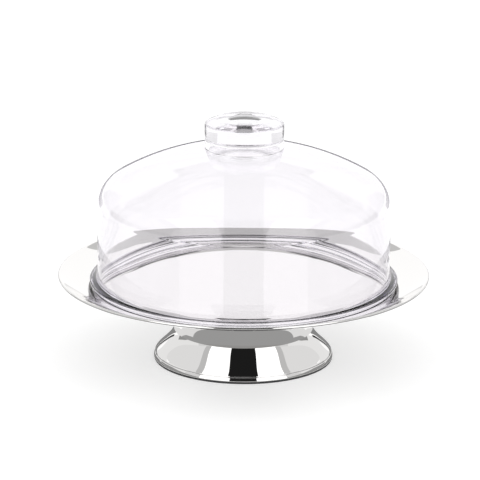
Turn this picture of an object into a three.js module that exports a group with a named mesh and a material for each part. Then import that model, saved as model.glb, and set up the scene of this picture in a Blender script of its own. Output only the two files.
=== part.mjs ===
// Footed cake stand with a clear dome.
//
// A dished, mirror-polished steel plate is held on a spun steel foot by a stud, washers and
// a nut. A moulded clear dome with a flanged base rests on the flat of the plate, and its
// puck-shaped knob is bonded to its crown. The dome lifts straight off the plate.
//
// Units are millimetres, +Z is up, and the origin is the centre of the surface that the
// stand rests on. Every piece is a body of revolution about Z, except for the hexagon nut.
import * as THREE from "three";

// Driving dimensions.
const SEGMENTS = 48;
const GAP = 0.3; // between pieces that touch

const PLATE_RADIUS = 165;
const WELL_RADIUS = 130; // flat middle of the plate
const CAKE_RADIUS = 125; // where the cake's surface ends and the dome's seat begins
const WELL_TOP = 69; // height of the surface that the cake stands on
const RIM_TOP = 79;
const PLATE_SHEET = 1.2;
const BEAD = 1.3; // radius of the rolled edge

const FOOT_RADIUS = 80.4;
const HEM_TOP = 5.6;
const LEDGE_OUTER = 62; // the ledge between the flare and the neck
const LEDGE_INNER = 57.6;
const LEDGE_HEIGHT = 27;
const NECK_RADIUS = 45.5;
const NECK_HEIGHT = 46;
const FOOT_SHEET = 1;

const GRIP_HEIGHT = 1.6;
const GRIP_INNER = 76.6;
const GRIP_OUTER = 79.8;

const STUD_RADIUS = 3;
const STUD_LENGTH = 15;
const STUD_CHAMFER = 0.8;
const WELD_DISC_RADIUS = 10;
const SEAL_HEIGHT = 0.8;
const SEAL_INNER = 20;
const SEAL_MARGIN = 2.5; // from the seal's edge to the side of the neck

const BORE_CLEARANCE = 0.4; // between the stud and a washer
const WASHER_RADIUS = 16;
const WASHER_HEIGHT = 1.2;
const LOCK_WASHER_RADIUS = 6;
const LOCK_WASHER_HEIGHT = 1.5;
const NUT_HEIGHT = 5;
const NUT_ACROSS_FLATS = 10;

const DOME_RADIUS = 130;
const DOME_WALL = 3.9;
const SHOULDER_HEIGHT = 139.6; // where the upright wall starts to turn in
const SHOULDER_RADIUS = 28;
const CROWN_SLOPE = Math.PI / 6; // slope of the crown where it meets the shoulder
const FLANGE_RADIUS = 137;
const FLANGE_TOP = 74;
const BASE_RADIUS = 134.8; // thick ring below the flange
const FILLET = 5.5;

const KNOB_RADIUS = 35;
const KNOB_HEIGHT = 27;
const KNOB_CHAMFER_WIDTH = 9.3;
const KNOB_CHAMFER_HEIGHT = 5.3;
const KNOB_SKIRT = 4;
const KNOB_ROOF = 18; // solid thickness above the hollow
const KNOB_INNER_CHAMFER = 2;

const at = (radius, height) => new THREE.Vector2(radius, height);

// Points on a circle, from one angle to another, in degrees from +radius towards +height.
function arc(centre, radius, from, to, steps) {
  const points = [];
  for (let i = 0; i <= steps; i++) {
    const angle = THREE.MathUtils.degToRad(from + ((to - from) * i) / steps);
    points.push(
      at(
        centre.x + radius * Math.cos(angle),
        centre.y + radius * Math.sin(angle),
      ),
    );
  }
  return points;
}

// The same line moved sideways: to the left of its direction when the distance is positive.
function offset(points, distance) {
  return points.map((point, i) => {
    const before = points[Math.max(i - 1, 0)];
    const after = points[Math.min(i + 1, points.length - 1)];
    const along = after.clone().sub(before).normalize();
    return at(point.x - along.y * distance, point.y + along.x * distance);
  });
}

function signedArea(points) {
  return points.reduce((sum, point, i) => {
    const next = points[(i + 1) % points.length];
    return sum + (point.x * next.y - next.x * point.y) / 2;
  }, 0);
}

// A solid of revolution about Z from an outline of (radius, height) points.
function turned(name, material, outline) {
  const points = signedArea(outline) > 0 ? outline : outline.slice().reverse();
  const touchesAxis = points.some((point) => point.x === 0);
  if (!touchesAxis) points.push(points[0].clone());
  while (touchesAxis && !(points[0].x === 0 && points.at(-1).x === 0)) {
    points.push(points.shift());
  }
  const geometry = new THREE.LatheGeometry(points, SEGMENTS);
  geometry.rotateX(Math.PI / 2);
  const mesh = new THREE.Mesh(geometry, material);
  mesh.name = name;
  return mesh;
}

function ring(name, material, inner, outer, bottom, height) {
  return turned(name, material, [
    at(inner, bottom),
    at(outer, bottom),
    at(outer, bottom + height),
    at(inner, bottom + height),
  ]);
}

function metal(color, roughness) {
  return new THREE.MeshStandardMaterial({ color, roughness, metalness: 1 });
}

const mirrorSteel = metal(0xdcdad8, 0.06);
const plainSteel = metal(0xb9b9b8, 0.35);
const clearPlastic = new THREE.MeshStandardMaterial({
  color: 0xe9e6f0,
  roughness: 0.05,
  metalness: 0,
  transparent: true,
  opacity: 0.35,
});
const blackRubber = new THREE.MeshStandardMaterial({
  color: 0x1c1c1d,
  roughness: 0.7,
  metalness: 0,
});

// The plate: a flat well that sweeps up to a rim with a rolled edge.
function plate() {
  const beadCentre = at(PLATE_RADIUS - BEAD, RIM_TOP - BEAD);
  const sweep = new THREE.QuadraticBezierCurve(
    at(WELL_RADIUS, WELL_TOP),
    at(WELL_RADIUS + 0.4 * (PLATE_RADIUS - WELL_RADIUS), WELL_TOP),
    at(beadCentre.x - 1.2 * BEAD, beadCentre.y + 0.5 * BEAD),
  ).getPoints(6);
  const underside = offset([at(0, WELL_TOP), ...sweep], -PLATE_SHEET);
  return turned("plate", mirrorSteel, [
    at(0, WELL_TOP),
    at(CAKE_RADIUS, WELL_TOP),
    ...sweep,
    ...arc(beadCentre, BEAD, 105, -165, 7),
    ...underside.reverse().slice(0, -1),
    at(0, WELL_TOP - PLATE_SHEET),
  ]);
}

const plateUnderside = WELL_TOP - PLATE_SHEET;
const footTop = plateUnderside - SEAL_HEIGHT - 2 * GAP;

// The foot: a spun shell with a thick hem, a bell-shaped flare, a narrow ledge and a waisted
// neck, closed by a top disc.
function footShell() {
  const flare = new THREE.CubicBezierCurve(
    at(FOOT_RADIUS - 1.5, HEM_TOP),
    at(FOOT_RADIUS - 1.3, HEM_TOP + 2.8),
    at(LEDGE_OUTER + 4.1, LEDGE_HEIGHT - 11.3),
    at(LEDGE_OUTER, LEDGE_HEIGHT),
  ).getPoints(7);
  const neck = new THREE.CubicBezierCurve(
    at(LEDGE_INNER, LEDGE_HEIGHT + 1),
    at(LEDGE_INNER - 6.1, LEDGE_HEIGHT + 6),
    at(NECK_RADIUS + 0.5, NECK_HEIGHT - 8.5),
    at(NECK_RADIUS, NECK_HEIGHT),
  ).getPoints(5);
  const outside = [...flare, ...neck, at(NECK_RADIUS, footTop - 1.5)];
  const hemBottom = GRIP_HEIGHT + GAP;
  return turned("foot_shell", mirrorSteel, [
    at(GRIP_INNER, hemBottom),
    at(FOOT_RADIUS - 0.6, hemBottom),
    at(FOOT_RADIUS, hemBottom + 0.6),
    at(FOOT_RADIUS - 0.9, HEM_TOP - 0.6),
    ...outside,
    at(NECK_RADIUS - 1.5, footTop),
    at(STUD_RADIUS + 0.6, footTop),
    at(STUD_RADIUS + 0.6, footTop - FOOT_SHEET),
    at(NECK_RADIUS - 1.5 - FOOT_SHEET / 2, footTop - FOOT_SHEET),
    ...offset(outside, FOOT_SHEET).reverse(),
    at(GRIP_INNER, HEM_TOP - 1.5),
  ]);
}

function gripRing() {
  return ring(
    "foot_grip_ring",
    blackRubber,
    GRIP_INNER,
    GRIP_OUTER,
    0,
    GRIP_HEIGHT,
  );
}

function neckSeal() {
  return ring(
    "neck_seal",
    blackRubber,
    SEAL_INNER,
    NECK_RADIUS - SEAL_MARGIN,
    footTop + GAP,
    SEAL_HEIGHT,
  );
}

// The stud: a flat weld disc under the plate with a threaded shank through the foot's top.
function stud() {
  const discTop = plateUnderside - GAP;
  const discBottom = discTop - SEAL_HEIGHT;
  const end = discBottom - STUD_LENGTH;
  return turned("plate_stud", plainSteel, [
    at(0, end),
    at(STUD_RADIUS - STUD_CHAMFER, end),
    at(STUD_RADIUS, end + STUD_CHAMFER),
    at(STUD_RADIUS, discBottom),
    at(WELD_DISC_RADIUS, discBottom),
    at(WELD_DISC_RADIUS, discTop),
    at(0, discTop),
  ]);
}

const washerBottom = footTop - FOOT_SHEET - GAP - WASHER_HEIGHT;
const lockWasherBottom = washerBottom - GAP - LOCK_WASHER_HEIGHT;
const nutBottom = lockWasherBottom - GAP - NUT_HEIGHT;

function washer() {
  return ring(
    "foot_washer",
    plainSteel,
    STUD_RADIUS + BORE_CLEARANCE,
    WASHER_RADIUS,
    washerBottom,
    WASHER_HEIGHT,
  );
}

function lockWasher() {
  return ring(
    "lock_washer",
    plainSteel,
    STUD_RADIUS + BORE_CLEARANCE,
    LOCK_WASHER_RADIUS,
    lockWasherBottom,
    LOCK_WASHER_HEIGHT,
  );
}

function nut() {
  const corner = NUT_ACROSS_FLATS / Math.sqrt(3);
  const hexagon = new THREE.Shape();
  for (let i = 0; i < 6; i++) {
    const angle = (i * Math.PI) / 3;
    const x = corner * Math.cos(angle);
    const y = corner * Math.sin(angle);
    if (i === 0) hexagon.moveTo(x, y);
    else hexagon.lineTo(x, y);
  }
  hexagon.closePath();
  const bore = new THREE.Path();
  bore.absarc(0, 0, STUD_RADIUS + GAP, 0, 2 * Math.PI, true);
  hexagon.holes.push(bore);
  const geometry = new THREE.ExtrudeGeometry(hexagon, {
    depth: NUT_HEIGHT,
    bevelEnabled: false,
    curveSegments: 24,
  });
  const mesh = new THREE.Mesh(geometry, plainSteel);
  mesh.name = "foot_nut";
  mesh.position.z = nutBottom;
  return mesh;
}

const domeBottom = WELL_TOP + 0.35;
const crownRadius =
  (DOME_RADIUS - SHOULDER_RADIUS * (1 - Math.sin(CROWN_SLOPE))) /
  Math.sin(CROWN_SLOPE);
const crownCentre =
  SHOULDER_HEIGHT +
  SHOULDER_RADIUS * Math.cos(CROWN_SLOPE) -
  crownRadius * Math.cos(CROWN_SLOPE);
const crownTop = crownCentre + crownRadius;
const crownAt = (radius) =>
  crownCentre + Math.sqrt(crownRadius ** 2 - radius ** 2);

// The dome: a thick base ring with a flange, an upright wall, a round shoulder and a
// shallow crown.
function dome() {
  const slope = THREE.MathUtils.radToDeg(CROWN_SLOPE);
  const shoulderCentre = at(DOME_RADIUS - SHOULDER_RADIUS, SHOULDER_HEIGHT);
  const crownMiddle = at(0, crownCentre);
  const outerCrown = arc(crownMiddle, crownRadius, 90 - slope, 90, 6).slice(1, -1);
  const innerCrown = arc(
    crownMiddle,
    crownRadius - DOME_WALL,
    90 - slope,
    90,
    6,
  ).slice(1, -1);
  const filletCentre = at(DOME_RADIUS + FILLET, FLANGE_TOP + FILLET);
  return turned("dome", clearPlastic, [
    at(DOME_RADIUS - DOME_WALL, domeBottom),
    at(BASE_RADIUS - 1.2, domeBottom),
    at(BASE_RADIUS, domeBottom + 1.2),
    at(BASE_RADIUS, FLANGE_TOP - 2.4),
    at(FLANGE_RADIUS, FLANGE_TOP - 1.8),
    at(FLANGE_RADIUS, FLANGE_TOP - 0.6),
    at(FLANGE_RADIUS - 0.6, FLANGE_TOP),
    ...arc(filletCentre, FILLET, 270, 180, 4),
    ...arc(shoulderCentre, SHOULDER_RADIUS, 0, 90 - slope, 6),
    ...outerCrown,
    at(0, crownTop),
    at(0, crownTop - DOME_WALL),
    ...innerCrown.reverse(),
    ...arc(shoulderCentre, SHOULDER_RADIUS - DOME_WALL, 90 - slope, 0, 6),
  ]);
}

// The knob: a thick puck with a chamfered, slightly crowned top. Below it is a shallow
// hollow inside a skirt, which is bonded to the crown.
function knob() {
  const skirtBottom = crownAt(KNOB_RADIUS) + GAP;
  const top = skirtBottom + KNOB_HEIGHT;
  const faceRadius = KNOB_RADIUS - KNOB_CHAMFER_WIDTH;
  const hollowRadius = KNOB_RADIUS - KNOB_SKIRT;
  const hollowTop = top - KNOB_ROOF;
  return turned("knob", clearPlastic, [
    at(0, hollowTop),
    at(hollowRadius - KNOB_INNER_CHAMFER, hollowTop),
    at(hollowRadius, hollowTop - KNOB_INNER_CHAMFER),
    at(hollowRadius, crownAt(hollowRadius) + GAP),
    at(KNOB_RADIUS - 0.8, skirtBottom),
    at(KNOB_RADIUS, skirtBottom + 0.8),
    at(KNOB_RADIUS, top - KNOB_CHAMFER_HEIGHT),
    at(KNOB_RADIUS - 1.4, top - KNOB_CHAMFER_HEIGHT + 1.2),
    at(faceRadius, top - 0.2),
    at(0.5 * faceRadius, top + 0.2),
    at(0, top + 0.4),
  ]);
}

const stand = new THREE.Group();
stand.add(
  plate(),
  stud(),
  neckSeal(),
  footShell(),
  washer(),
  lockWasher(),
  nut(),
  gripRing(),
);

const lid = new THREE.Group();
lid.add(dome(), knob());

const cakeStand = new THREE.Group();
cakeStand.add(stand, lid);

export default cakeStand;
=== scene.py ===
"""Looks of the footed cake stand with a clear dome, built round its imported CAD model.

The plate, foot, dome and knob are made again as fine surfaces from the same dimensions as
the CAD, in millimetres, and each rides on its CAD body. The stud, seal, washers, nut and grip
ring keep their CAD solids and get a material here.
"""

import math

import bpy
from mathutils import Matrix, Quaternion, Vector


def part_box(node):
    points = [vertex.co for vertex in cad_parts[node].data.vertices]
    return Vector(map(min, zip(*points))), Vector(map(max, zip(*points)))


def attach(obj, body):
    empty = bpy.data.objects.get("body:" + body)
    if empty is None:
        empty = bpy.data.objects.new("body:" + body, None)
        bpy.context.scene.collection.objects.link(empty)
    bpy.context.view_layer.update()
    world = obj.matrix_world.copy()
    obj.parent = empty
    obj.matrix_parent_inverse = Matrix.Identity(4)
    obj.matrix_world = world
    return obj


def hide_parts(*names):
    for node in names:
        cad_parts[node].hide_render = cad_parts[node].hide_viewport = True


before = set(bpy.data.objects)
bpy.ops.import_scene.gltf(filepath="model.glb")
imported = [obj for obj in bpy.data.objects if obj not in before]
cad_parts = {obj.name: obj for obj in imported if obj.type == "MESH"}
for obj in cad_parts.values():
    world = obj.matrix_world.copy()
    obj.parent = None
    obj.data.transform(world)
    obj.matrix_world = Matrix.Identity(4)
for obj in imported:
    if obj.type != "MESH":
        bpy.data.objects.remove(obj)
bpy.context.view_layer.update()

MM = 0.001
SEGMENTS = 240
SHARP_ANGLE = math.radians(28)

# Heights and radii that the CAD model gives, in millimetres.
PLATE_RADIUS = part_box("plate")[1].x / MM
RIM_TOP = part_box("plate")[1].z / MM
FOOT_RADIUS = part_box("foot_shell")[1].x / MM
FOOT_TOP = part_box("foot_shell")[1].z / MM
GRIP_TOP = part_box("foot_grip_ring")[1].z / MM
DOME_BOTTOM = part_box("dome")[0].z / MM
CROWN_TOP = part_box("dome")[1].z / MM
KNOB_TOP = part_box("knob")[1].z / MM
KNOB_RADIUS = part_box("knob")[1].x / MM

# Dimensions that the boxes do not show, as in the CAD model.
GAP = 0.3
WELL_RADIUS = 130
WELL_TOP = 69
PLATE_SHEET = 1.2
BEAD = 1.3
HEM_TOP = 5.6
LEDGE_OUTER = 62
LEDGE_INNER = 57.6
LEDGE_HEIGHT = 27
NECK_RADIUS = 45.5
NECK_HEIGHT = 46
FOOT_SHEET = 1
GRIP_INNER = 76.6
STUD_HOLE = 3.6
DOME_RADIUS = 130
DOME_WALL = 3.9
SHOULDER_HEIGHT = 139.6
SHOULDER_RADIUS = 28
CROWN_SLOPE = 30
FLANGE_RADIUS = 137
FLANGE_TOP = 74
BASE_RADIUS = 134.8
FILLET = 5.5
KNOB_HEIGHT = 27
KNOB_CHAMFER_WIDTH = 9.3
KNOB_CHAMFER_HEIGHT = 5.3
KNOB_SKIRT = 4
KNOB_ROOF = 18

# Rounds on edges that the CAD model leaves sharp or chamfered.
HEM_ROUND = 0.6
NECK_ROUND = 1.5
BASE_INNER_ROUND = 0.5
BASE_OUTER_ROUND = 1.2
FLANGE_ROUND = 0.6
KNOB_EDGE_ROUND = 0.8
KNOB_INNER_ROUND = 2


# ---------------------------------------------------------------- outlines


def arc(centre, radius, start, end, steps):
    """Points on a circle, from one angle to another, in degrees."""
    points = []
    for i in range(steps + 1):
        angle = math.radians(start + (end - start) * i / steps)
        points.append((centre[0] + radius * math.cos(angle), centre[1] + radius * math.sin(angle)))
    return points


def bezier(controls, steps):
    """Points on a Bezier curve with any number of control points."""
    degree = len(controls) - 1
    points = []
    for i in range(steps + 1):
        t = i / steps
        weights = [math.comb(degree, k) * t**k * (1 - t) ** (degree - k) for k in range(degree + 1)]
        radius = sum(weight * control[0] for weight, control in zip(weights, controls))
        height = sum(weight * control[1] for weight, control in zip(weights, controls))
        points.append((radius, height))
    return points


def offset(points, distance):
    """The same line moved to the left of its direction."""
    moved = []
    for i, point in enumerate(points):
        before = points[max(i - 1, 0)]
        after = points[min(i + 1, len(points) - 1)]
        along = Vector((after[0] - before[0], after[1] - before[1])).normalized()
        moved.append((point[0] - along.y * distance, point[1] + along.x * distance))
    return moved


def plate_outline():
    bead = (PLATE_RADIUS - BEAD, RIM_TOP - BEAD)
    sweep = bezier(
        [
            (WELL_RADIUS, WELL_TOP),
            (WELL_RADIUS + 0.4 * (PLATE_RADIUS - WELL_RADIUS), WELL_TOP),
            (bead[0] - 1.2 * BEAD, bead[1] + 0.5 * BEAD),
        ],
        28,
    )
    top = [(0, WELL_TOP), (0.5 * WELL_RADIUS, WELL_TOP), *sweep]
    underside = offset(top, -PLATE_SHEET)
    return [
        *top,
        *arc(bead, BEAD, 105, -165, 24),
        *reversed(underside[1:-1]),
        (0, WELL_TOP - PLATE_SHEET),
    ]


def foot_outline():
    flare = bezier(
        [
            (FOOT_RADIUS - 1.5, HEM_TOP),
            (FOOT_RADIUS - 1.3, HEM_TOP + 2.8),
            (LEDGE_OUTER + 4.1, LEDGE_HEIGHT - 11.3),
            (LEDGE_OUTER, LEDGE_HEIGHT),
        ],
        28,
    )
    neck = bezier(
        [
            (LEDGE_INNER, LEDGE_HEIGHT + 1),
            (LEDGE_INNER - 6.1, LEDGE_HEIGHT + 6),
            (NECK_RADIUS + 0.5, NECK_HEIGHT - 8.5),
            (NECK_RADIUS, NECK_HEIGHT),
        ],
        24,
    )
    outside = [*flare, *neck, (NECK_RADIUS, FOOT_TOP - NECK_ROUND)]
    hem_bottom = GRIP_TOP + GAP
    return [
        (GRIP_INNER, hem_bottom),
        *arc((FOOT_RADIUS - HEM_ROUND, hem_bottom + HEM_ROUND), HEM_ROUND, -90, 18, 6),
        *arc((FOOT_RADIUS - 1.6, HEM_TOP - 0.8), 0.7, 18, 75, 5),
        *outside,
        *arc((NECK_RADIUS - NECK_ROUND, FOOT_TOP - NECK_ROUND), NECK_ROUND, 15, 90, 6),
        (STUD_HOLE, FOOT_TOP),
        (STUD_HOLE, FOOT_TOP - FOOT_SHEET),
        (NECK_RADIUS - NECK_ROUND - FOOT_SHEET / 2, FOOT_TOP - FOOT_SHEET),
        *reversed(offset(outside, FOOT_SHEET)),
        (GRIP_INNER, HEM_TOP - 1.5),
    ]


# The crown is part of a sphere that meets the shoulder's round without a corner.
SLOPE_SIN = math.sin(math.radians(CROWN_SLOPE))
SLOPE_COS = math.cos(math.radians(CROWN_SLOPE))
CROWN_RADIUS = (DOME_RADIUS - SHOULDER_RADIUS * (1 - SLOPE_SIN)) / SLOPE_SIN
CROWN_CENTRE = SHOULDER_HEIGHT + (SHOULDER_RADIUS - CROWN_RADIUS) * SLOPE_COS


def crown_at(radius):
    """Height of the crown's outside at a distance from the axis."""
    return CROWN_CENTRE + math.sqrt(CROWN_RADIUS**2 - radius**2)


def dome_outline():
    shoulder = (DOME_RADIUS - SHOULDER_RADIUS, SHOULDER_HEIGHT)
    crown = (0, CROWN_CENTRE)
    fillet = (DOME_RADIUS + FILLET, FLANGE_TOP + FILLET)
    steep = 90 - CROWN_SLOPE
    inner_foot = (DOME_RADIUS - DOME_WALL + BASE_INNER_ROUND, DOME_BOTTOM + BASE_INNER_ROUND)
    outer_foot = (BASE_RADIUS - BASE_OUTER_ROUND, DOME_BOTTOM + BASE_OUTER_ROUND)
    return [
        *arc(inner_foot, BASE_INNER_ROUND, 180, 270, 4),
        *arc(outer_foot, BASE_OUTER_ROUND, -90, 0, 8),
        (BASE_RADIUS, FLANGE_TOP - 2.4),
        *arc((FLANGE_RADIUS - FLANGE_ROUND, FLANGE_TOP - 1.5), FLANGE_ROUND, -60, 0, 4),
        *arc((FLANGE_RADIUS - FLANGE_ROUND, FLANGE_TOP - FLANGE_ROUND), FLANGE_ROUND, 0, 90, 6),
        *arc(fillet, FILLET, 270, 180, 16),
        (DOME_RADIUS, 0.5 * (FLANGE_TOP + SHOULDER_HEIGHT)),
        *arc(shoulder, SHOULDER_RADIUS, 0, steep, 28),
        *arc(crown, CROWN_RADIUS, steep, 90, 32)[1:-1],
        (0, CROWN_TOP),
        (0, CROWN_TOP - DOME_WALL),
        *arc(crown, CROWN_RADIUS - DOME_WALL, 90, steep, 32)[1:-1],
        *arc(shoulder, SHOULDER_RADIUS - DOME_WALL, steep, 0, 28),
    ]


def knob_outline():
    skirt_bottom = crown_at(KNOB_RADIUS) + GAP
    top = skirt_bottom + KNOB_HEIGHT
    side_top = top - KNOB_CHAMFER_HEIGHT
    face = KNOB_RADIUS - KNOB_CHAMFER_WIDTH
    recess = KNOB_RADIUS - KNOB_SKIRT
    ceiling = top - KNOB_ROOF
    inner_corner = (recess - KNOB_INNER_ROUND, ceiling - KNOB_INNER_ROUND)
    lower_edge = (KNOB_RADIUS - KNOB_EDGE_ROUND, skirt_bottom + KNOB_EDGE_ROUND)
    return [
        (0, ceiling),
        *arc(inner_corner, KNOB_INNER_ROUND, 90, 0, 6),
        (recess, crown_at(recess) + GAP),
        *arc(lower_edge, KNOB_EDGE_ROUND, -90, 0, 5),
        *bezier(
            [
                (KNOB_RADIUS, side_top),
                (KNOB_RADIUS, side_top + 1.2),
                (KNOB_RADIUS - 2.2, side_top + 1.9),
            ],
            6,
        ),
        *bezier([(face + 1.5, top - 0.9), (face, top - 0.3), (face - 1.6, top - 0.1)], 6),
        (0.5 * face, top + 0.2),
        (0, KNOB_TOP),
    ]


# ---------------------------------------------------------------- meshes


def turned(name, outline, closed):
    """A surface of revolution about Z from (radius, height) points in millimetres.

    A closed outline joins its last point to its first, and an open one has both ends on Z.
    """
    verts = []
    rows = []
    for radius, height in outline:
        if radius == 0:
            rows.append([len(verts)] * SEGMENTS)
            verts.append((0, 0, height * MM))
            continue
        rows.append(range(len(verts), len(verts) + SEGMENTS))
        for j in range(SEGMENTS):
            angle = 2 * math.pi * j / SEGMENTS
            x, y = radius * MM * math.cos(angle), radius * MM * math.sin(angle)
            verts.append((x, y, height * MM))
    faces = []
    for i in range(len(rows) if closed else len(rows) - 1):
        low, high = rows[i], rows[(i + 1) % len(rows)]
        for j in range(SEGMENTS):
            k = (j + 1) % SEGMENTS
            corners = dict.fromkeys((low[j], low[k], high[k], high[j]))
            if len(corners) > 2:
                faces.append(tuple(corners))
    # The faces look outward only if the outline runs anticlockwise.
    area = sum(a[0] * b[1] - b[0] * a[1] for a, b in zip(outline, [*outline[1:], outline[0]]))
    if area < 0:
        faces = [face[::-1] for face in faces]
    mesh = bpy.data.meshes.new(name)
    mesh.from_pydata(verts, [], faces)
    mesh.shade_smooth()
    mesh.set_sharp_from_angle(angle=SHARP_ANGLE)
    piece = bpy.data.objects.new(name, mesh)
    bpy.context.scene.collection.objects.link(piece)
    return piece


def fine_piece(name, node, body, outline, material, closed=False):
    """A turned piece that rides on a body in place of a node of the CAD model."""
    piece = turned(name, outline, closed)
    piece.data.materials.append(material)
    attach(piece, body)
    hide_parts(node)


def solid_piece(node, material):
    """Gives a material to a node that keeps its CAD solid."""
    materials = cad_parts[node].data.materials
    materials.clear()
    materials.append(material)


# ---------------------------------------------------------------- materials

# Most of the noise texture's values lie between these two.
NOISE_LOW = 0.3
NOISE_HIGH = 0.7

# How strongly the clear plastic is tinted inside. The knob is thick and needs less.
DOME_TINT_DENSITY = 12
KNOB_TINT_DENSITY = 1.5


def new_material(name, **values):
    """A new material, its node tree and its shader, with the shader's named values set."""
    material = bpy.data.materials.new(name)
    material.use_nodes = True
    shader = material.node_tree.nodes["Principled BSDF"]
    for key, value in values.items():
        shader.inputs[key.replace("_", " ")].default_value = value
    return material, material.node_tree, shader


def polish_marks(tree, scale, low, high):
    """Roughness between two values, in rings round Z as a polishing wheel leaves them."""
    place = tree.nodes.new("ShaderNodeTexCoord")
    split = tree.nodes.new("ShaderNodeSeparateXYZ")
    length = tree.nodes.new("ShaderNodeVectorMath")
    length.operation = "LENGTH"
    flat = tree.nodes.new("ShaderNodeCombineXYZ")
    rings = tree.nodes.new("ShaderNodeCombineXYZ")
    noise = tree.nodes.new("ShaderNodeTexNoise")
    spread = tree.nodes.new("ShaderNodeMapRange")
    noise.inputs["Scale"].default_value = scale
    noise.inputs["Detail"].default_value = 3
    spread.inputs["From Min"].default_value = NOISE_LOW
    spread.inputs["From Max"].default_value = NOISE_HIGH
    spread.inputs["To Min"].default_value = low
    spread.inputs["To Max"].default_value = high
    link = tree.links.new
    link(place.outputs["Object"], split.inputs[0])
    link(split.outputs["X"], flat.inputs["X"])
    link(split.outputs["Y"], flat.inputs["Y"])
    link(flat.outputs[0], length.inputs[0])
    link(length.outputs["Value"], rings.inputs["X"])
    link(split.outputs["Z"], rings.inputs["Y"])
    link(rings.outputs[0], noise.inputs["Vector"])
    link(noise.outputs["Fac"], spread.inputs["Value"])
    return spread.outputs["Result"]


def mirror_steel():
    material, tree, shader = new_material("mirror_steel", Metallic=1.0, IOR=2.5)
    shader.inputs["Base Color"].default_value = (0.9, 0.89, 0.88, 1)
    tree.links.new(polish_marks(tree, 250, 0.002, 0.006), shader.inputs["Roughness"])
    return material


def plain_steel():
    material, tree, shader = new_material("plain_steel", Metallic=1.0)
    shader.inputs["Base Color"].default_value = (0.55, 0.55, 0.54, 1)
    tree.links.new(polish_marks(tree, 1500, 0.22, 0.42), shader.inputs["Roughness"])
    return material


def clear_plastic(name, density):
    material, tree, shader = new_material(name, IOR=1.49)
    shader.inputs["Base Color"].default_value = (0.99, 0.985, 0.99, 1)
    shader.inputs["Transmission Weight"].default_value = 1.0
    tree.links.new(polish_marks(tree, 60, 0.0, 0.012), shader.inputs["Roughness"])
    tint = tree.nodes.new("ShaderNodeVolumeAbsorption")
    tint.inputs["Color"].default_value = (0.6, 0.5, 0.75, 1)
    tint.inputs["Density"].default_value = density
    tree.links.new(tint.outputs["Volume"], tree.nodes["Material Output"].inputs["Volume"])
    return material


def black_rubber():
    material, tree, shader = new_material("black_rubber", IOR=1.5)
    shader.inputs["Base Color"].default_value = (0.03, 0.03, 0.032, 1)
    tree.links.new(polish_marks(tree, 2500, 0.5, 0.8), shader.inputs["Roughness"])
    return material


# ---------------------------------------------------------------- camera and light

# The studio's lengths are in metres. Its angles are in degrees, and 0 is the front.
CAMERA_BACK = 2.775
CAMERA_HEIGHT = 0.9197
CAMERA_AIM = Vector((-0.0034, 0, 0.108))
CAMERA_LENS = 244.1
CAMERA_ROLL = 0.3

FLOOR_RADIUS = 14
FLOOR_GREY = 0.6
FLOOR_GLOW = 0.5
WORLD_GLOW = 0.85
SUN_ENERGY = 1.15
SUN_WIDTH = 100

# How brightly the cards glow.
BLACK_GLOW = 0.015
WHITE_GLOW = 1.38
GREY_GLOW = 0.41
CEILING_GLOW = 0.64
BACK_GLOW = 1.09

# Degrees between the corners of a card that is swept round the set.
CARD_STEP = 3

# The arch over the stand: where its cards end along X, and up the arch.
ARCH_RADIUS = 2.0
ARCH_HEIGHT = 0.04
ARCH_STEPS = 24
BLACK_HALF = 0.56
WHITE_EDGE = 1.96
GREY_EDGE = 2.7
FRONT_START = 30
FRONT_END = 82
CEILING_END = 136
STRIP_END = 144
BACK_END = 176
BACK_HALF = 1.1

# The strips between the ceiling and the back card, from the middle outward.
STRIP_DARK = 0.1
STRIP_WHITE = 0.25
STRIP_SOFT = 0.55
STRIP_DARK_GLOW = 0.02
STRIP_SOFT_GLOW = 0.6

# The walls, from the middle of the front outward. Outside the white ones, WALL_LOW is where
# a dim low wall ends and a brighter one above it starts.
WALL_RADIUS = 2.0
WALL_TOP = 1.1
WALL_LOW = 0.35
WALL_BLACK = 17
WALL_WHITE = 56
WALL_SIDE = 78
WALL_END = 125
WALL_SIDE_GLOW = 0.7
WALL_LOW_GLOW = 0.3

# The card below the plate: a ring round the neck, and sectors outside it.
UNDER_HEIGHT = 0.0665
UNDER_INNER = 0.044
UNDER_MIDDLE = 0.082
UNDER_OUTER = 0.163
UNDER_BLACK = 15.5
UNDER_WHITE = 44
UNDER_EDGE = 52
UNDER_RING_GLOW = 0.34
UNDER_BLACK_GLOW = 0.012
UNDER_EDGE_GLOW = 0.54
UNDER_BACK_GLOW = 0.78

# A dark ring round the foot that only reflections see: painted shade on the floor.
FLOOR_RING_STEPS = 72
FLOOR_RING_INNER = 0.083
FLOOR_RING_OUTER = 0.42
FLOOR_RING_HEIGHT = 0.001
FLOOR_SHADE_GLOW = 0.25

SHEET_START = 0.8
SHEET_HEIGHT = 0.002
FENCE_RADIUS = 1.75
FENCE_TOP = 0.08
FENCE_HALF = 38
FENCE_STEPS = 60
FENCE_GLOW = 0.04


def make_camera():
    data = bpy.data.cameras.new("camera")
    data.lens = CAMERA_LENS
    data.sensor_width = 36
    data.clip_end = 100
    camera = bpy.data.objects.new("camera", data)
    bpy.context.scene.collection.objects.link(camera)
    camera.location = (CAMERA_AIM.x, -CAMERA_BACK, CAMERA_HEIGHT)
    camera.rotation_mode = "QUATERNION"
    toward = (CAMERA_AIM - camera.location).to_track_quat("-Z", "Y")
    camera.rotation_quaternion = toward @ Quaternion((0, 0, 1), math.radians(CAMERA_ROLL))
    bpy.context.scene.camera = camera


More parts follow.
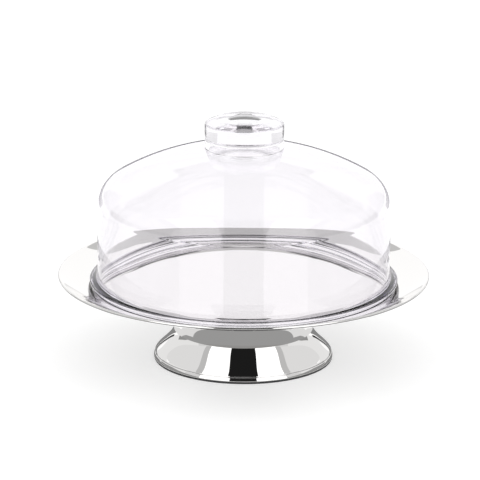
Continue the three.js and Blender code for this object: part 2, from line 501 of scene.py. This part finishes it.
def make_floor():
    bpy.ops.mesh.primitive_circle_add(vertices=96, radius=FLOOR_RADIUS, fill_type="NGON")
    floor = bpy.context.object
    floor.name = "studio_floor"
    material, _, shader = new_material("studio_floor", Roughness=0.9)
    shader.inputs["Base Color"].default_value = (FLOOR_GREY, FLOOR_GREY, FLOOR_GREY, 1)
    shader.inputs["Specular IOR Level"].default_value = 0.0
    shader.inputs["Emission Color"].default_value = (1, 1, 1, 1)
    shader.inputs["Emission Strength"].default_value = FLOOR_GLOW
    floor.data.materials.append(material)


def make_world():
    world = bpy.data.worlds.new("studio")
    bpy.context.scene.world = world
    world.use_nodes = True
    sky = world.node_tree.nodes["Background"]
    sky.inputs["Color"].default_value = (1, 1, 1, 1)
    sky.inputs["Strength"].default_value = WORLD_GLOW


def white_emission(name, strength):
    material = bpy.data.materials.new(name)
    material.use_nodes = True
    tree = material.node_tree
    tree.nodes.clear()
    glow = tree.nodes.new("ShaderNodeEmission")
    glow.inputs["Color"].default_value = (1, 1, 1, 1)
    glow.inputs["Strength"].default_value = strength
    output = tree.nodes.new("ShaderNodeOutputMaterial")
    tree.links.new(glow.outputs[0], output.inputs["Surface"])
    return material


def studio_card(name, verts, faces, glow, casts_shadow=False, behind_plastic=True):
    """A glowing card that reflections see, and the camera and matt surfaces do not.

    behind_plastic says whether it also shows through the clear plastic.
    """
    mesh = bpy.data.meshes.new(name)
    mesh.from_pydata(verts, [], faces)
    mesh.materials.append(white_emission(name, glow))
    card = bpy.data.objects.new(name, mesh)
    bpy.context.scene.collection.objects.link(card)
    card.visible_camera = False
    card.visible_diffuse = False
    card.visible_shadow = casts_shadow
    card.visible_transmission = behind_plastic


def arch_card(name, left, right, start, end, glow):
    """A card on an arch over the stand, whose axis is X.

    left and right are along X. start and end are angles up from the horizon in front, so
    90 is overhead and 180 is the horizon behind.
    """
    verts = []
    for i in range(ARCH_STEPS + 1):
        angle = math.radians(start + (end - start) * i / ARCH_STEPS)
        y = -ARCH_RADIUS * math.cos(angle)
        z = ARCH_HEIGHT + ARCH_RADIUS * math.sin(angle)
        verts += [(left, y, z), (right, y, z)]
    faces = [(2 * i, 2 * i + 1, 2 * i + 3, 2 * i + 2) for i in range(ARCH_STEPS)]
    studio_card(name, verts, faces, glow, casts_shadow=True)


def swept_card(name, left, right, profile, glow, steps=None, behind_plastic=True):
    """A card swept round the stand's axis from left to right.

    profile holds (distance, height) points.
    """
    steps = steps or int((right - left) / CARD_STEP)
    rows = len(profile)
    verts = []
    for i in range(steps + 1):
        angle = math.radians(left + (right - left) * i / steps)
        for distance, height in profile:
            verts.append((distance * math.sin(angle), -distance * math.cos(angle), height))
    faces = []
    for i in range(steps):
        for corner in range(rows * i, rows * i + rows - 1):
            faces.append((corner, corner + 1, corner + rows + 1, corner + rows))
    studio_card(name, verts, faces, glow, behind_plastic=behind_plastic)


def wall_card(name, left, right, bottom, top, glow):
    """An upright card round the front of the set."""
    swept_card(name, left, right, ((WALL_RADIUS, bottom), (WALL_RADIUS, top)), glow)


def under_card(left, right, inner, outer, glow):
    """A flat card just below the plate, which only reflections see."""
    profile = ((inner, UNDER_HEIGHT), (outer, UNDER_HEIGHT))
    swept_card("under_card", left, right, profile, glow, behind_plastic=False)


def make_arch():
    arch_card("black_card", -BLACK_HALF, BLACK_HALF, FRONT_START, FRONT_END, BLACK_GLOW)
    for name, left, right, glow in (
        ("white_card", -WHITE_EDGE, -BLACK_HALF, WHITE_GLOW),
        ("grey_card", -GREY_EDGE, -WHITE_EDGE, GREY_GLOW),
        ("white_card", BLACK_HALF, WHITE_EDGE, WHITE_GLOW),
        ("grey_card", WHITE_EDGE, GREY_EDGE, GREY_GLOW),
    ):
        arch_card(name, left, right, FRONT_START, FRONT_END, glow)


def make_walls():
    wall_card("black_wall", -WALL_BLACK, WALL_BLACK, 0, WALL_TOP, BLACK_GLOW)
    for near, far, bottom, top, glow in (
        (WALL_BLACK, WALL_WHITE, 0, WALL_TOP, WHITE_GLOW),
        (WALL_WHITE, WALL_SIDE, WALL_LOW, WALL_TOP, WALL_SIDE_GLOW),
        (WALL_WHITE, WALL_END, 0, WALL_LOW, WALL_LOW_GLOW),
    ):
        wall_card("side_wall", near, far, bottom, top, glow)
        wall_card("side_wall", -far, -near, bottom, top, glow)


def make_ceiling():
    arch_card("ceiling_card", -GREY_EDGE, GREY_EDGE, FRONT_END, CEILING_END, CEILING_GLOW)
    for left, right, glow in (
        (-STRIP_SOFT, -STRIP_WHITE, STRIP_SOFT_GLOW),
        (-STRIP_WHITE, -STRIP_DARK, BACK_GLOW),
        (-STRIP_DARK, STRIP_DARK, STRIP_DARK_GLOW),
        (STRIP_DARK, STRIP_WHITE, BACK_GLOW),
        (STRIP_WHITE, STRIP_SOFT, STRIP_SOFT_GLOW),
        (-GREY_EDGE, -STRIP_SOFT, BACK_GLOW),
        (STRIP_SOFT, GREY_EDGE, BACK_GLOW),
    ):
        arch_card("back_strip", left, right, CEILING_END, STRIP_END, glow)
    arch_card("back_card", -BACK_HALF, BACK_HALF, STRIP_END, BACK_END, BACK_GLOW)


def make_painted_floor_shade():
    """A dark ring on the floor round the foot, which draws the steel's lower edges.

    It is painted shade, which stands in for the shade on the floor round the foot. Only
    reflections see it.
    """
    profile = ((FLOOR_RING_INNER, FLOOR_RING_HEIGHT), (FLOOR_RING_OUTER, FLOOR_RING_HEIGHT))
    swept_card(
        "painted_floor_shade", 0, 360, profile, FLOOR_SHADE_GLOW, FLOOR_RING_STEPS, behind_plastic=False
    )


def make_dark_fence():
    """A dark sheet on the floor behind the stand, which turns up into a low fence.

    It darkens the edges of the clear plastic. Only reflections see it, because seen through
    the plastic it would turn the raised dome grey.
    """
    profile = (
        (SHEET_START, SHEET_HEIGHT),
        (FENCE_RADIUS, SHEET_HEIGHT),
        (FENCE_RADIUS, FENCE_TOP),
    )
    left, right = 180 - FENCE_HALF, 180 + FENCE_HALF
    swept_card(
        "dark_fence", left, right, profile, FENCE_GLOW, FENCE_STEPS, behind_plastic=False
    )


def make_sun():
    sun = bpy.data.lights.new("top_light", "SUN")
    sun.energy = SUN_ENERGY
    sun.angle = math.radians(SUN_WIDTH)
    lamp = bpy.data.objects.new("top_light", sun)
    lamp.visible_glossy = False
    lamp.visible_transmission = False
    bpy.context.scene.collection.objects.link(lamp)


def make_under_cards():
    """Cards that put the stripes on the foot, in a ring round the neck and sectors outside."""
    under_card(-180, 180, UNDER_INNER, UNDER_MIDDLE, UNDER_RING_GLOW)
    for left, right, glow in (
        (-UNDER_BLACK, UNDER_BLACK, UNDER_BLACK_GLOW),
        (UNDER_BLACK, UNDER_WHITE, WHITE_GLOW),
        (-UNDER_WHITE, -UNDER_BLACK, WHITE_GLOW),
        (UNDER_WHITE, UNDER_EDGE, UNDER_EDGE_GLOW),
        (-UNDER_EDGE, -UNDER_WHITE, UNDER_EDGE_GLOW),
        (UNDER_EDGE, 360 - UNDER_EDGE, UNDER_BACK_GLOW),
    ):
        under_card(left, right, UNDER_MIDDLE, UNDER_OUTER, glow)


# ---------------------------------------------------------------- the scene

make_camera()
make_floor()
make_world()
make_arch()
make_walls()
make_painted_floor_shade()
make_ceiling()
make_dark_fence()
make_sun()
make_under_cards()
bpy.context.scene.view_settings.view_transform = "Standard"
bpy.context.scene.cycles.max_bounces = 32
bpy.context.scene.cycles.transmission_bounces = 32
bpy.context.scene.cycles.glossy_bounces = 16

steel = mirror_steel()
fastener_steel = plain_steel()
dome_plastic = clear_plastic("clear_plastic", DOME_TINT_DENSITY)
knob_plastic = clear_plastic("clear_knob_plastic", KNOB_TINT_DENSITY)
rubber = black_rubber()

fine_piece("plate_dish", "plate", "stand", plate_outline(), steel)
fine_piece(
    "foot_spun_shell", "foot_shell", "stand", foot_outline(), steel, closed=True
)
fine_piece("dome_cover", "dome", "lid", dome_outline(), dome_plastic, closed=True)
fine_piece("knob_puck", "knob", "lid", knob_outline(), knob_plastic)

for node in ("plate_stud", "foot_washer", "lock_washer", "foot_nut"):
    solid_piece(node, fastener_steel)
# The black on the grip ring draws the dark line round the foot's bottom edge.
for node in ("neck_seal", "foot_grip_ring"):
    solid_piece(node, rubber)
